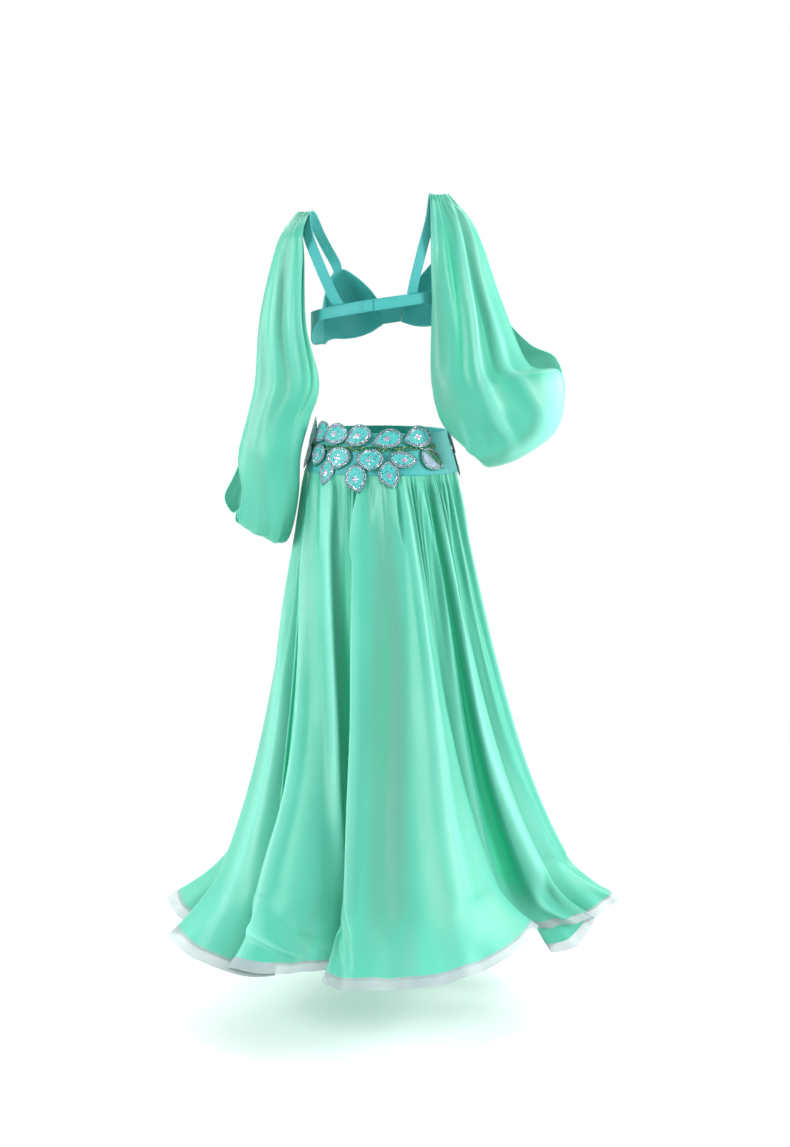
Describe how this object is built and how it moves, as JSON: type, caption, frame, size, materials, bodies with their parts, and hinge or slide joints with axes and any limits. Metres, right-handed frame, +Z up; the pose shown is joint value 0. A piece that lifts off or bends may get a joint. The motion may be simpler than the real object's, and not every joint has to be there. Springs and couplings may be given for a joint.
{
  "type": "belly dance dress",
  "caption": "Mint satin belly dance dress: stretch bra with slit bishop sleeves, long gathered gored skirt with horsehair hem, jewelled leaf hip yoke",
  "frame": {"origin": "midway between the tops of the two shoulder straps, on the wearer's shoulder line", "axes": "+X to the wearer's left, +Y to the wearer's back, +Z up"},
  "size_m": [0.8397, 0.8365, 1.4002],
  "materials": {
    "mint_satin": "soft satin, slightly sheer",
    "horsehair_braid": "translucent white mesh braid",
    "turquoise_stretch": "matt stretch knit",
    "jewelled_leaf": "turquoise fabric edged with iridescent rhinestones",
    "green_beads": "small green and gold glass beads"
  },
  "bodies": {
    "root": {"belt_stem": "green_beads", "bra_bridge": "turquoise_stretch", "bra_cup_left": "turquoise_stretch", "bra_cup_right": "turquoise_stretch", "bra_hook_tab": "turquoise_stretch", "bra_strap_left": "turquoise_stretch", "bra_strap_right": "turquoise_stretch", "bra_wing_left": "turquoise_stretch", "bra_wing_right": "turquoise_stretch", "hem_braid_1": "horsehair_braid", "hem_braid_2": "horsehair_braid", "hem_braid_3": "horsehair_braid", "hem_braid_4": "horsehair_braid", "hem_braid_5": "horsehair_braid", "hem_braid_6": "horsehair_braid", "hem_braid_7": "horsehair_braid", "hem_braid_8": "horsehair_braid", "leaf_hanging_1": "jewelled_leaf", "leaf_hanging_2": "jewelled_leaf", "leaf_hanging_3": "jewelled_leaf", "leaf_lower_1": "jewelled_leaf", "leaf_lower_2": "jewelled_leaf", "leaf_lower_3": "jewelled_leaf", "leaf_lower_4": "jewelled_leaf", "leaf_lower_5": "jewelled_leaf", "leaf_side_left": "jewelled_leaf", "leaf_side_right_1": "jewelled_leaf", "leaf_side_right_2": "jewelled_leaf", "leaf_two_tone": "jewelled_leaf", "leaf_upper_1": "jewelled_leaf", "leaf_upper_2": "jewelled_leaf", "leaf_upper_3": "jewelled_leaf", "leaf_upper_4": "jewelled_leaf", "leaf_upper_5": "jewelled_leaf", "leaf_upper_6": "jewelled_leaf", "skirt_gore_1": "mint_satin", "skirt_gore_2": "mint_satin", "skirt_gore_3": "mint_satin", "skirt_gore_4": "mint_satin", "skirt_gore_5": "mint_satin", "skirt_gore_6": "mint_satin", "skirt_gore_7": "mint_satin", "skirt_gore_8": "mint_satin", "sleeve_left_back": "mint_satin", "sleeve_left_cuff": "mint_satin", "sleeve_left_front": "mint_satin", "sleeve_right_back": "mint_satin", "sleeve_right_cuff": "mint_satin", "sleeve_right_front": "mint_satin", "yoke_back": "turquoise_stretch", "yoke_front": "turquoise_stretch"}
  },
  "joints": []
}
